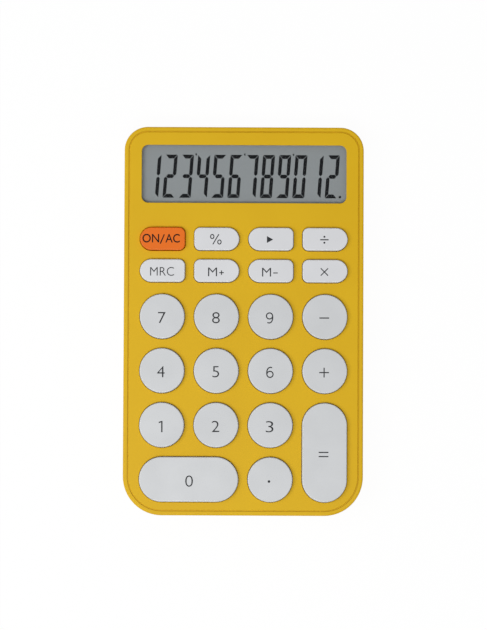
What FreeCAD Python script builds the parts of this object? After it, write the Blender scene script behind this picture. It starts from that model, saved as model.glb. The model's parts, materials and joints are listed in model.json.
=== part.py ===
import FreeCAD, Part
import math
import os
import re
import Sketcher

Vector = FreeCAD.Vector

# Desk calculator, in millimetres. The origin is under the middle of the case, on the surface that the
# feet stand on. +X is to the right of the face, +Y towards the display and +Z up.

SIZES = {
    # Layout of the face, from the user's edge to the display's edge
    "front_margin": 5.3,
    "side_margin": 6.3,
    "back_margin": 7.0,
    "key_pitch": 20.9,
    "key_diameter": 17.2,
    "row_spacing": 4.67,
    "function_key_width": 17.3,
    "function_key_depth": 8.76,
    "function_key_corner": 2.3,
    "function_row_pitch": 12.3,
    "window_spacing": 9.67,
    "window_depth": 22.4,
    "window_side_margin": 6.7,
    "window_corner": 2.5,
    # Rear case
    "foot_proud": 0.8,
    "body_height": 12.8,
    "corner_front": 15.0,
    "corner_back": 9.0,
    "wall_thickness": 2.6,
    "floor_thickness": 1.8,
    "rim_width": 1.6,
    "rim_edge_radius": 0.7,
    "bottom_edge_radius": 2.4,
    # Front panel, which lies on the ledge inside the rim
    "panel_thickness": 2.0,
    "panel_fit": 0.05,
    "panel_edge_radius": 0.2,
    "seam_gap": 0.45,
    "seam_depth": 0.45,
    # Keys
    "key_gap": 0.2,
    "key_proud": 1.8,
    "key_travel": 1.3,
    "key_edge_radius": 0.4,
    "key_wall": 1.2,
    "key_top_wall": 1.2,
    "flange_width": 1.0,
    "flange_thickness": 1.0,
    "stem_diameter": 5.0,
    # Silicone sheet with a dome under each key
    "travel_reserve": 0.8,
    "sheet_thickness": 0.8,
    "sheet_back_corner": 4.0,
    "dome_base": 9.0,
    "dome_top": 5.0,
    "dome_wall": 0.6,
    # Circuit board and what is on it
    "board_thickness": 1.2,
    "board_clearance": 0.6,
    "pad_diameter": 5.2,
    "pad_thickness": 0.1,
    "pad_split": 0.5,
    "chip_diameter": 9.0,
    "chip_height": 1.4,
    "chip_edge_radius": 1.0,
    "capacitor_length": 3.5,
    "capacitor_width": 2.8,
    "capacitor_height": 1.9,
    "resistor_length": 2.0,
    "resistor_width": 1.2,
    "resistor_height": 0.6,
    "component_spacing": 4.0,
    # Screws, bosses and posts
    "boss_diameter": 4.4,
    "boss_clearance": 0.7,
    "post_diameter": 6.4,
    "screw_diameter": 2.0,
    "screw_grip": 3.0,
    "pilot_reserve": 0.4,
    "thread_clearance": 0.03,
    "screw_clearance": 0.15,
    "head_diameter": 3.8,
    "head_height": 1.2,
    "head_clearance": 0.2,
    "screw_seat": 2.4,
    "cross_span": 2.2,
    "cross_width": 0.5,
    "cross_depth": 0.6,
    # Display stack
    "lip_thickness": 0.5,
    "lens_overlap": 1.6,
    "lens_fit": 0.1,
    "lens_thickness": 0.8,
    "tape_thickness": 0.1,
    "ring_relief": 0.2,
    "gasket_thickness": 0.5,
    "polariser_thickness": 0.2,
    "glass_thickness": 0.9,
    "reflector_thickness": 0.2,
    "glass_border": 0.8,
    "contact_ledge": 2.0,
    "zebra_width": 1.4,
    "zebra_margin": 2.0,
    "zebra_fit": 0.1,
    "holder_fit": 0.2,
    "holder_wall": 0.8,
    "holder_corner": 2.5,
    "holder_shelf": 3.0,
    # Coin cell, its contacts and its quarter-turn cover
    "cell_diameter": 20.0,
    "cell_height": 3.2,
    "cell_cap_diameter": 17.6,
    "cell_cap_height": 0.5,
    "cover_diameter": 26.0,
    "cover_thickness": 1.6,
    "cover_gap": 0.3,
    "cell_room": 0.8,
    "lug_length": 1.4,
    "lug_width": 5.0,
    "lug_height": 1.0,
    "lug_lift": 0.1,
    "lug_clearance": 0.3,
    "lug_angle": 15.0,
    "cover_turn": 90.0,
    "stop_width": 1.2,
    "well_wall": 1.3,
    "well_rise": 0.5,
    "coin_slot_length": 11.0,
    "coin_slot_width": 1.8,
    "coin_slot_depth": 0.8,
    "strip_thickness": 0.25,
    "strip_width": 4.0,
    "strip_foot": 2.4,
    "strip_touch": 0.15,
    "leaf_foot": 4.0,
    "leaf_arm": 5.0,
    # Rubber feet
    "foot_diameter": 9.0,
    "foot_recess": 0.8,
    "foot_fit": 0.1,
    "foot_inset": 12.0,
    "foot_edge_radius": 0.3,
}

# What follows from the sizes: first the plan of the face, then the levels from the top down
DERIVED = {
    "body_width": "3 * key_pitch + key_diameter + 2 * side_margin",
    "digit_block": "3 * key_pitch + key_diameter",
    "function_block": "function_row_pitch + function_key_depth",
    "face_depth": "digit_block + row_spacing + function_block + window_spacing + window_depth",
    "body_length": "front_margin + face_depth + back_margin",
    "row_1": "front_margin + key_diameter / 2 - body_length / 2",
    "row_2": "row_1 + key_pitch",
    "row_3": "row_1 + 2 * key_pitch",
    "row_4": "row_1 + 3 * key_pitch",
    "memory_row": "row_4 + (key_diameter + function_key_depth) / 2 + row_spacing",
    "clear_row": "memory_row + function_row_pitch",
    "window_front": "clear_row + function_key_depth / 2 + window_spacing",
    "window_y": "window_front + window_depth / 2",
    "window_width": "body_width - 2 * window_side_margin",
    "glass_width": "window_width + 2 * glass_border",
    "rear_glass_depth": "window_depth + 2 * glass_border",
    "front_glass_depth": "rear_glass_depth + contact_ledge",
    "front_glass_y": "window_y + contact_ledge / 2",
    "zebra_y": "window_y + rear_glass_depth / 2 + contact_ledge / 2",
    "holder_grow": "2 * (holder_fit + holder_wall)",
    "holder_front": "window_front - glass_border - holder_fit - holder_wall",
    "gap_row": "memory_row - function_key_depth / 2 - flange_width - boss_clearance - boss_diameter / 2",
    "display_row": "(clear_row + function_key_depth / 2 + flange_width + holder_front) / 2",
    "face": "foot_proud + body_height",
    "panel_under": "face - panel_thickness",
    "flange_under": "panel_under - flange_thickness",
    "dome_height": "key_travel + travel_reserve",
    "sheet_top": "flange_under - dome_height",
    "board_top": "sheet_top - sheet_thickness",
    "board_under": "board_top - board_thickness",
    "boss_height": "panel_under - board_top",
    "lens_top": "face - lip_thickness - tape_thickness",
    "gasket_top": "lens_top - lens_thickness",
    "polariser_top": "gasket_top - gasket_thickness",
    "glass_top": "polariser_top - polariser_thickness",
    "glass_split": "glass_top - glass_thickness",
    "reflector_top": "glass_split - glass_thickness",
    "reflector_under": "reflector_top - reflector_thickness",
    "cell_under": "foot_proud + cover_thickness",
    "cell_top": "cell_under + cell_height",
    "lug_under": "floor_thickness + lug_lift",
    "lug_top": "lug_under + lug_height",
    "lug_reach": "cover_diameter / 2 + lug_length",
    "well_radius": "lug_reach + lug_clearance",
    "well_height": "lug_top + well_rise - floor_thickness",
}

# Keys by name, column (in key pitches from the middle), row and kind of outline
KEYS = [
    ("on_clear", -1.5, "clear_row", "round_left"),
    ("percent", -0.5, "clear_row", "round_right"),
    ("backspace", 0.5, "clear_row", "round_left"),
    ("divide", 1.5, "clear_row", "round_right"),
    ("memory_recall", -1.5, "memory_row", "round_left"),
    ("memory_plus", -0.5, "memory_row", "round_right"),
    ("memory_minus", 0.5, "memory_row", "round_left"),
    ("multiply", 1.5, "memory_row", "round_right"),
    ("seven", -1.5, "row_4", "round"),
    ("eight", -0.5, "row_4", "round"),
    ("nine", 0.5, "row_4", "round"),
    ("minus", 1.5, "row_4", "round"),
    ("four", -1.5, "row_3", "round"),
    ("five", -0.5, "row_3", "round"),
    ("six", 0.5, "row_3", "round"),
    ("plus", 1.5, "row_3", "round"),
    ("one", -1.5, "row_2", "round"),
    ("two", -0.5, "row_2", "round"),
    ("three", 0.5, "row_2", "round"),
    ("zero", -1.0, "row_1", "wide"),
    ("point", 0.5, "row_1", "round"),
    ("equals", 1.5, "row_1 + key_pitch / 2", "tall"),
]

# Screws stand in the diamonds between the keys: those that close the case, and those that hold the board
CASE_SCREWS = [
    ("-key_pitch", "gap_row"),
    ("key_pitch", "gap_row"),
    ("-key_pitch", "row_3 - key_pitch / 2"),
    ("key_pitch", "row_3 - key_pitch / 2"),
    ("0", "row_2 - key_pitch / 2"),
    ("-key_pitch", "display_row"),
    ("key_pitch", "display_row"),
]
BOARD_SCREWS = [
    ("-key_pitch", "row_4 - key_pitch / 2"),
    ("key_pitch", "row_4 - key_pitch / 2"),
    ("0", "row_3 - key_pitch / 2"),
    ("0", "gap_row"),
    ("-1.5 * key_pitch", "display_row"),
    ("1.5 * key_pitch", "display_row"),
]
BOARD_SUPPORTS = [("-1.5 * key_pitch", "window_y"), ("1.5 * key_pitch", "window_y")]
FEET = [
    (f"{side} * (body_width / 2 - foot_inset)", f"{end} * (body_length / 2 - foot_inset)")
    for side in (-1, 1)
    for end in (-1, 1)
]
COLUMNS = (-1.5, -0.5, 0.5, 1.5)
THIRDS = (0, 120, 240)

doc = FreeCAD.newDocument("desk_calculator")
sheet = doc.addObject("Spreadsheet::Sheet", "dims")
for row, (name, size) in enumerate(SIZES.items(), start=1):
    sheet.set(f"A{row}", name)
    sheet.set(f"B{row}", str(size))
    sheet.setAlias(f"B{row}", name)
reader = doc.addObject("App::FeaturePython", "reader")
doc.recompute()
parts = []


def formula(text):
    """The text with each size's name turned into its cell, and each derived name into its own formula."""

    def cell(match):
        word = match.group()
        if word in DERIVED:
            return f"({formula(DERIVED[word])})"
        return f"dims.{word}" if word in SIZES else word

    return re.sub(r"[a-z_][a-z0-9_]*", cell, text)


def number(text):
    """The value that a formula has now."""
    return float(reader.evalExpression(formula(text)))


class Drawing:
    """A sketch on one of a body's own planes, whose places and sizes are bound to formulas."""

    def __init__(self, body, level="0", plane="XY_Plane"):
        role = [feature for feature in body.Origin.OriginFeatures if feature.Role == plane]
        self.sketch = body.newObject("Sketcher::SketchObject", "sketch")
        self.sketch.AttachmentSupport = [(role[0], "")]
        self.sketch.MapMode = "FlatFace"
        self.sketch.setExpression("AttachmentOffset.Base.z", formula(level))
        self.rules = []
        self.formulas = {}

    def bind(self, kind, *where, text):
        self.formulas[len(self.rules)] = formula(text)
        self.rules.append(Sketcher.Constraint(kind, *where, number(text)))

    def place(self, element, point, x, y):
        self.bind("DistanceX", -1, 1, element, point, text=x)
        self.bind("DistanceY", -1, 1, element, point, text=y)

    def line(self, start, end):
        return self.sketch.addGeometry(Part.LineSegment(Vector(*start), Vector(*end)), False)

    def arc(self, centre, radius, start, end):
        circle = Part.Circle(Vector(*centre), Vector(0, 0, 1), radius)
        arc = Part.ArcOfCircle(circle, math.radians(start), math.radians(end))
        return self.sketch.addGeometry(arc, False)

    def circle(self, x, y, diameter):
        circle = Part.Circle(Vector(number(x), number(y)), Vector(0, 0, 1), number(diameter) / 2)
        element = self.sketch.addGeometry(circle, False)
        self.place(element, 3, x, y)
        self.bind("Diameter", element, text=diameter)

    def polygon(self, points):
        """Straight lines through (x, y) formulas, closed."""
        places = [(number(x), number(y)) for x, y in points]
        lines = [self.line(a, b) for a, b in zip(places, places[1:] + places[:1])]
        for element, (x, y) in zip(lines, points):
            self.place(element, 1, x, y)
        for element, following in zip(lines, lines[1:] + lines[:1]):
            self.rules.append(Sketcher.Constraint("Coincident", element, 2, following, 1))

    def rectangle(self, x, y, width, depth):
        sides = ((-1, -1), (1, -1), (1, 1), (-1, 1))
        self.polygon([(f"{x} + {i} * ({width}) / 2", f"{y} + {j} * ({depth}) / 2") for i, j in sides])

    def radial_tab(self, y, inner, outer, width, angle):
        """A rectangle that points away from (0, y), between two radii."""
        corners = ((inner, -1), (outer, -1), (outer, 1), (inner, 1))
        turn = f"(({angle}) * 1 deg)"
        self.polygon(
            [
                (
                    f"({radius}) * cos{turn} - {side} * ({width}) / 2 * sin{turn}",
                    f"{y} + ({radius}) * sin{turn} + {side} * ({width}) / 2 * cos{turn}",
                )
                for radius, side in corners
            ]
        )

    def outline(self, x, y, width, depth, front="0", back=None, ends=()):
        """A rectangle with rounded front and back corners, or with whole half circles at the named ends."""
        radius = {"front": front, "back": back or front}
        edge = {
            "front": f"{y} - ({depth}) / 2",
            "right": f"{x} + ({width}) / 2",
            "back": f"{y} + ({depth}) / 2",
            "left": f"{x} - ({width}) / 2",
        }
        at = {side: number(text) for side, text in edge.items()}
        across = width if {"front", "back"} & set(ends) else depth
        half = number(across) / 2
        middle = (number(x), number(y))

        def corner(side, end):
            """The centre and radius of the corner where a long side meets the front or the back."""
            size = half if {side, end} & set(ends) else number(radius[end])
            sign = (1 if side == "left" else -1, 1 if end == "front" else -1)
            return (at[side] + sign[0] * size, at[end] + sign[1] * size), size

        lf, rf, rb, lb = [
            corner(side, end)[0]
            for side, end in (("left", "front"), ("right", "front"), ("right", "back"), ("left", "back"))
        ]
        straight = {
            "front": ((lf[0], at["front"]), (rf[0], at["front"])),
            "right": ((at["right"], rf[1]), (at["right"], rb[1])),
            "back": ((rb[0], at["back"]), (lb[0], at["back"])),
            "left": ((at["left"], lb[1]), (at["left"], lf[1])),
        }
        half_circle = {
            "front": ((middle[0], at["front"] + half), 180),
            "right": ((at["right"] - half, middle[1]), -90),
            "back": ((middle[0], at["back"] - half), 0),
            "left": ((at["left"] + half, middle[1]), 90),
        }
        turns = {"front": ("right", "front", -90), "right": ("right", "back", 0)}
        turns |= {"back": ("left", "back", 90), "left": ("left", "front", 180)}
        sides = ("front", "right", "back", "left")
        path = []
        for side, following in zip(sides, sides[1:] + sides[:1]):
            lies_across = side in ("front", "back")
            reach = "DistanceY" if lies_across else "DistanceX"
            if side in ends:
                centre, start = half_circle[side]
                path.append(self.arc(centre, half, start, start + 180))
                sign = "+" if side in ("front", "left") else "-"
                self.bind(reach, -1, 1, path[-1], 3, text=f"{edge[side]} {sign} ({across}) / 2")
                continue
            path.append(self.line(*straight[side]))
            self.rules.append(Sketcher.Constraint("Horizontal" if lies_across else "Vertical", path[-1]))
            self.bind(reach, -1, 1, path[-1], 1, text=edge[side])
            if following not in ends:
                long_side, end, start = turns[side]
                centre, size = corner(long_side, end)
                path.append(self.arc(centre, size, start, start + 90))
                self.bind("Radius", path[-1], text=radius[end])
        for element, following in zip(path, path[1:] + path[:1]):
            self.rules.append(Sketcher.Constraint("Tangent", element, 2, following, 1))

    def finish(self):
        self.sketch.addConstraint(self.rules)
        for index, text in self.formulas.items():
            self.sketch.setExpression(f"Constraints[{index}]", text)
        return self.sketch


def new_body(label, x="0", y="0", z="0"):
    body = doc.addObject("PartDesign::Body", label)
    body.Label = label
    for axis, text in zip("xyz", (x, y, z)):
        body.setExpression(f"Placement.Base.{axis}", formula(text))
    parts.append(body)
    return body


def pad(body, drawing, height, downward=False, taper=None):
    feature = body.newObject("PartDesign::Pad", "pad")
    feature.Profile = drawing.finish()
    feature.Reversed = downward
    feature.setExpression("Length", formula(height))
    if taper:
        feature.setExpression("TaperAngle", formula(taper))
    doc.recompute()
    return feature


def pocket(body, drawing, depth, upward=False, taper=None):
    """Cut from the drawing's level, downward unless it says upward, and see that something was cut."""
    before = body.Shape.Volume
    feature = body.newObject("PartDesign::Pocket", "pocket")
    feature.Profile = drawing.finish()
    feature.Reversed = upward
    feature.setExpression("Length", formula(depth))
    if taper:
        feature.setExpression("TaperAngle", formula(taper))
    doc.recompute()
    if body.Shape.Volume >= before:
        raise ValueError(f"a pocket in {body.Label} cut nothing")
    return feature


def fillet(body, radius, level):
    """Round every edge that lies in the body's plane at this level."""
    base = body.Tip
    height = number(level)
    flat = [
        f"Edge{index}"
        for index, edge in enumerate(base.Shape.Edges, start=1)
        if max(abs(edge.BoundBox.ZMin - height), abs(edge.BoundBox.ZMax - height)) < 1e-4
    ]
    feature = body.newObject("PartDesign::Fillet", "fillet")
    feature.Base = (base, flat)
    feature.setExpression("Radius", formula(radius))
    doc.recompute()


def plate(label, y, z, width, depth, height, corner):
    """A flat rectangular piece with rounded corners."""
    body = new_body(label, y=y, z=z)
    drawing = Drawing(body)
    drawing.outline("0", "0", width, depth, corner)
    pad(body, drawing, height)
    return body


def circles(body, level, places, diameter):
    drawing = Drawing(body, level)
    for x, y in places:
        drawing.circle(x, y, diameter)
    return drawing


def case_outline(body, level, inset):
    """The outline of the case, drawn in from its outer edge."""
    drawing = Drawing(body, level)
    width, length = f"body_width - 2 * ({inset})", f"body_length - 2 * ({inset})"
    drawing.outline("0", "0", width, length, f"corner_front - ({inset})", f"corner_back - ({inset})")
    return drawing


def window_outline(drawing, grow, y="0"):
    """The outline of the window, let out all round."""
    width, depth = f"window_width + 2 * ({grow})", f"window_depth + 2 * ({grow})"
    drawing.outline("0", y, width, depth, f"window_corner + ({grow})")


def key_outline(drawing, kind, grow, x="0", y="0"):
    """The outline of a key, let out all round."""
    short, long = f"key_diameter + 2 * ({grow})", f"key_pitch + key_diameter + 2 * ({grow})"
    if kind == "round":
        drawing.circle(x, y, short)
    elif kind == "wide":
        drawing.outline(x, y, long, short, ends=("left", "right"))
    elif kind == "tall":
        drawing.outline(x, y, short, long, ends=("front", "back"))
    else:
        width, depth = f"function_key_width + 2 * ({grow})", f"function_key_depth + 2 * ({grow})"
        drawing.outline(x, y, width, depth, f"function_key_corner + ({grow})", ends=(kind[6:],))


def stem_places(kind, x="0", y="0"):
    """Where a key presses the sheet: in its middle, or under both halves of a double key."""
    if kind == "wide":
        return [(f"{x} - key_pitch / 2", y), (f"{x} + key_pitch / 2", y)]
    if kind == "tall":
        return [(x, f"{y} - key_pitch / 2"), (x, f"{y} + key_pitch / 2")]
    return [(x, y)]


DOMES = [place for _, column, y, kind in KEYS for place in stem_places(kind, f"{column} * key_pitch", y)]


def rear_case():
    body = new_body("rear_case", z="foot_proud")
    pad(body, case_outline(body, "0", "0"), "body_height")
    fillet(body, "rim_edge_radius", "body_height")
    fillet(body, "bottom_edge_radius", "0")
    seat = "body_height - panel_thickness"
    pocket(body, case_outline(body, "body_height", "rim_width"), "panel_thickness")
    pocket(body, case_outline(body, seat, "wall_thickness"), f"{seat} - floor_thickness")
    posts = circles(body, "floor_thickness", CASE_SCREWS + BOARD_SUPPORTS, "post_diameter")
    pad(body, posts, "board_under - foot_proud - floor_thickness")
    well = circles(body, "floor_thickness", [("0", "window_y")], "2 * (well_radius + well_wall)")
    well.circle("0", "window_y", "2 * well_radius")
    pad(body, well, "well_height")
    stops = Drawing(body, "floor_thickness")
    for third in THIRDS:
        inner = "cover_diameter / 2 + cover_gap"
        stops.radial_tab("window_y", inner, "well_radius + well_wall / 2", "stop_width", str(third))
    pad(body, stops, "well_height")
    pocket(body, circles(body, "0", CASE_SCREWS, "head_diameter + 2 * head_clearance"), "screw_seat", True)
    through = circles(body, "screw_seat", CASE_SCREWS, "screw_diameter + 2 * screw_clearance")
    pocket(body, through, "board_under - foot_proud - screw_seat", True)
    pocket(body, circles(body, "0", FEET, "foot_diameter + 2 * foot_fit"), "foot_recess", True)
    opening = circles(body, "0", [("0", "window_y")], "cover_diameter + 2 * cover_gap")
    pocket(body, opening, "floor_thickness", True)
    notches = Drawing(body)
    for third in THIRDS:
        width = "lug_width + 2 * lug_clearance"
        angle = f"{third} - lug_angle - cover_turn"
        notches.radial_tab("window_y", "cover_diameter / 2", "well_radius", width, angle)
    pocket(body, notches, "floor_thickness", True)


def front_panel():
    body = new_body("front_panel", z="panel_under")
    pad(body, case_outline(body, "0", "rim_width + panel_fit"), "panel_thickness - seam_depth")
    upper = case_outline(body, "panel_thickness - seam_depth", "rim_width + seam_gap")
    pad(body, upper, "seam_depth")
    for kinds in (("round",), ("round_left",), ("round_right",), ("wide", "tall")):
        holes = Drawing(body, "panel_thickness")
        for _, column, y, kind in KEYS:
            if kind in kinds:
                key_outline(holes, kind, "key_gap", f"{column} * key_pitch", y)
        pocket(body, holes, "panel_thickness")
    window = Drawing(body, "panel_thickness")
    window_outline(window, "0", "window_y")
    pocket(body, window, "panel_thickness")
    fillet(body, "panel_edge_radius", "panel_thickness")
    rebate = Drawing(body)
    window_outline(rebate, "lens_overlap + lens_fit", "window_y")
    pocket(body, rebate, "panel_thickness - lip_thickness", True)
    pad(body, circles(body, "0", CASE_SCREWS + BOARD_SCREWS, "boss_diameter"), "boss_height", True)
    pilot = "screw_diameter + 2 * thread_clearance"
    pilots = circles(body, "-boss_height", CASE_SCREWS + BOARD_SCREWS, pilot)
    pocket(body, pilots, "screw_grip + pilot_reserve", True)


def key(name, column, y, kind):
    """A hollow cap with a flange that stops under the panel and a stem that presses the dome."""
    body = new_body(f"key_{name}", f"{column} * key_pitch", y, "flange_under")
    height = "flange_thickness + panel_thickness + key_proud"
    cap = Drawing(body)
    key_outline(cap, kind, "0")
    pad(body, cap, height)
    fillet(body, "key_edge_radius", height)
    flange = Drawing(body)
    key_outline(flange, kind, "flange_width")
    pad(body, flange, "flange_thickness")
    hollow = Drawing(body)
    key_outline(hollow, kind, "-key_wall")
    pocket(body, hollow, f"{height} - key_top_wall", True)
    pad(body, circles(body, "0", stem_places(kind), "stem_diameter"), f"{height} - key_top_wall")


def keypad_sheet():
    """A sheet on the board, whose hollow domes carry the keys and give way when one is pressed."""
    body = new_body("keypad_sheet", z="board_top")
    front = "row_1 - key_diameter / 2 - flange_width"
    back = "clear_row + function_key_depth / 2 + flange_width"
    corner = "key_diameter / 2 + flange_width"
    drawing = Drawing(body)
    width, middle = "3 * key_pitch + key_diameter + 2 * flange_width", f"({front} + {back}) / 2"
    drawing.outline("0", middle, width, f"{back} - ({front})", corner, "sheet_back_corner")
    in_sheet = [place for place in CASE_SCREWS + BOARD_SCREWS if place[1] != "display_row"]
    for x, y in in_sheet:
        drawing.circle(x, y, "boss_diameter + 2 * boss_clearance")
    pad(body, drawing, "sheet_thickness")
    slope = "atan((dome_base - dome_top) / 2 / dome_height)"
    pad(body, circles(body, "sheet_thickness", DOMES, "dome_base"), "dome_height", taper=f"-{slope}")
    rise = "(dome_base - dome_top) / dome_height"
    foot = f"dome_base + sheet_thickness * ({rise}) - 2 * dome_wall / cos({slope})"
    hollows = circles(body, "0", DOMES, foot)
    pocket(body, hollows, "sheet_thickness + travel_reserve", True, f"-{slope}")


def circuit_board():
    body = new_body("circuit_board", z="board_under")
    drawing = case_outline(body, "0", "wall_thickness + board_clearance")
    for x, y in CASE_SCREWS + BOARD_SCREWS:
        drawing.circle(x, y, "screw_diameter + 2 * screw_clearance")
    pad(body, drawing, "board_thickness")
    contacts = new_body("key_contacts", z="board_top")
    pad(contacts, circles(contacts, "0", DOMES, "pad_diameter"), "pad_thickness")
    split = Drawing(contacts, "pad_thickness")
    for column in COLUMNS:
        split.rectangle(f"{column} * key_pitch", "0", "pad_split", "body_length")
    pocket(contacts, split, "pad_thickness")
    chip = new_body("controller_chip", y="memory_row", z="board_under")
    pad(chip, circles(chip, "0", [("0", "0")], "chip_diameter"), "chip_height", True)
    fillet(chip, "chip_edge_radius", "-chip_height")
    aside = "chip_diameter / 2 + component_spacing"
    capacitor = new_body("filter_capacitor", aside, "memory_row", "board_under")
    drawing = Drawing(capacitor)
    drawing.rectangle("0", "0", "capacitor_length", "capacitor_width")
    pad(capacitor, drawing, "capacitor_height", True)
    resistors = new_body("chip_resistors", f"-({aside})", "memory_row", "board_under")
    drawing = Drawing(resistors)
    for step in (-1, 0, 1):
        drawing.rectangle("0", f"{step} * component_spacing", "resistor_length", "resistor_width")
    pad(resistors, drawing, "resistor_height", True)


def display():
    plate_corner = "window_corner + lens_overlap"
    lens_width, lens_depth = "window_width + 2 * lens_overlap", "window_depth + 2 * lens_overlap"
    plate("display_window", "window_y", "gasket_top", lens_width, lens_depth, "lens_thickness", plate_corner)
    for label, level, height, outer in (
        ("window_tape", "lens_top", "tape_thickness", "lens_overlap"),
        ("display_gasket", "polariser_top", "gasket_thickness", "glass_border"),
    ):
        ring = new_body(label, y="window_y", z=level)
        drawing = Drawing(ring)
        window_outline(drawing, outer)
        window_outline(drawing, "ring_relief")
        pad(ring, drawing, height)
    film = ("glass_width", "rear_glass_depth")
    plate("display_polariser", "window_y", "glass_top", *film, "polariser_thickness", "glass_border")
    whole = ("glass_width", "front_glass_depth")
    plate("display_front_glass", "front_glass_y", "glass_split", *whole, "glass_thickness", "glass_border")
    plate("display_rear_glass", "window_y", "reflector_top", *film, "glass_thickness", "glass_border")
    plate("display_reflector", "window_y", "reflector_under", *film, "reflector_thickness", "glass_border")
    zebra = new_body("zebra_connector", y="zebra_y", z="board_top")
    zebra_length = "glass_width - 2 * zebra_margin"
    drawing = Drawing(zebra)
    drawing.rectangle("0", "0", zebra_length, "zebra_width")
    pad(zebra, drawing, "glass_split - board_top")
    holder_sizes = ("glass_width + holder_grow", "front_glass_depth + holder_grow", "glass_top - board_top")
    holder = plate("display_holder", "front_glass_y", "board_top", *holder_sizes, "holder_corner")
    recess = Drawing(holder, "glass_top - board_top")
    room = "2 * holder_fit"
    recess.rectangle("0", "0", f"glass_width + {room}", f"front_glass_depth + {room}")
    pocket(holder, recess, "glass_top - reflector_under")
    openings = Drawing(holder)
    back = "window_y - front_glass_y"
    openings.rectangle("0", back, "window_width - 2 * holder_shelf", "window_depth - 2 * holder_shelf")
    fit = "2 * zebra_fit"
    openings.rectangle("0", "zebra_y - front_glass_y", f"{zebra_length} + {fit}", f"zebra_width + {fit}")
    pocket(holder, openings, "reflector_under - board_top", True)


def battery():
    cell = new_body("coin_cell", y="window_y", z="cell_under")
    middle = [("0", "0")]
    can = "cell_height - cell_cap_height"
    pad(cell, circles(cell, "0", middle, "cell_diameter"), can)
    pad(cell, circles(cell, can, middle, "cell_cap_diameter"), "cell_cap_height")
    leaf = new_body("battery_contact_negative", y="window_y")
    profile = Drawing(leaf, plane="XZ_Plane")
    foot_end, bend, tip = "-leaf_arm / 2 - leaf_foot", "-leaf_arm / 2", "leaf_arm / 2"
    upper = [(tip, "cell_top + strip_thickness"), (bend, "board_under"), (foot_end, "board_under")]
    lower = [(foot_end, "board_under - strip_thickness"), (bend, "board_under - strip_thickness")]
    profile.polygon(upper + lower + [(tip, "cell_top")])
    pad(leaf, profile, "strip_width").Midplane = True
    strip = new_body("battery_contact_positive", y="window_y")
    profile = Drawing(strip, plane="XZ_Plane")
    inner = "cell_diameter / 2 + strip_touch"
    foot_end = f"{inner} + strip_foot"
    foot_level = "board_under - strip_thickness"
    leg_end = "foot_proud + lug_top + lug_clearance"
    leg = [(inner, "board_under"), (inner, leg_end), (f"{inner} + strip_thickness", leg_end)]
    foot = [(f"{inner} + strip_thickness", foot_level), (foot_end, foot_level), (foot_end, "board_under")]
    profile.polygon(leg + foot)
    pad(strip, profile, "strip_width").Midplane = True


def battery_cover():
    """A disc flush with the underside, whose three lugs turn over the floor until they meet the stops."""
    body = new_body("battery_cover", y="window_y", z="foot_proud")
    middle = [("0", "0")]
    pad(body, circles(body, "0", middle, "cover_diameter"), "cover_thickness")
    ring = circles(body, "cover_thickness", middle, "cover_diameter")
    ring.circle("0", "0", "cell_diameter + 2 * cell_room")
    pad(body, ring, "lug_top - cover_thickness")
    lugs = Drawing(body, "lug_under")
    for third in THIRDS:
        inner = "(cover_diameter / 2 + cell_diameter / 2 + cell_room) / 2"
        lugs.radial_tab("0", inner, "lug_reach", "lug_width", f"{third} - lug_angle")
    pad(body, lugs, "lug_height")
    slot = Drawing(body)
    slot.outline("0", "0", "coin_slot_length", "coin_slot_width", ends=("left", "right"))
    pocket(body, slot, "coin_slot_depth", True)


def screws(label, places, seat, shank):
    """Screws whose heads bear upward on the seat, each with a cross in its head."""
    body = new_body(label, z=seat)
    pad(body, circles(body, "0", places, "head_diameter"), "head_height", True)
    pad(body, circles(body, "0", places, "screw_diameter"), shank)
    for width, depth in (("cross_span", "cross_width"), ("cross_width", "cross_span")):
        bars = Drawing(body, "-head_height")
        for x, y in places:
            bars.rectangle(x, y, width, depth)
        pocket(body, bars, "cross_depth", True)


def rubber_feet():
    body = new_body("rubber_feet")
    pad(body, circles(body, "0", FEET, "foot_diameter"), "foot_proud + foot_recess")
    fillet(body, "foot_edge_radius", "0")


rear_case()
front_panel()
for description in KEYS:
    key(*description)
keypad_sheet()
circuit_board()
display()
battery()
battery_cover()
case_seat = "foot_proud + screw_seat"
screws("case_screws", CASE_SCREWS, case_seat, f"board_top + screw_grip - ({case_seat})")
screws("board_screws", BOARD_SCREWS, "board_under", "board_thickness + screw_grip")
rubber_feet()
doc.recompute()

for thing in doc.Objects:
    if {"Invalid", "Error"} & set(thing.State):
        raise ValueError(f"{thing.Label} failed: {thing.State}")
for body in parts:
    if body.Shape.isNull() or not body.Shape.isValid():
        raise ValueError(f"{body.Label} has no valid shape")
os.makedirs("parts", exist_ok=True)
for body in parts:
    body.Shape.exportStep(os.path.join("parts", f"{body.Label}.step"))
    box = body.Shape.BoundBox
    print(f"{body.Label}: {len(body.Shape.Solids)} solids, {body.Shape.Volume:.1f} mm3, {box}")
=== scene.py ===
# Desk calculator: its finishes, the print on its keys, its digits and the marks round its battery cover
import json
import bpy
from math import atan2, cos, hypot, pi, radians, sin, sqrt, tan
from mathutils import Matrix, Vector


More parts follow.
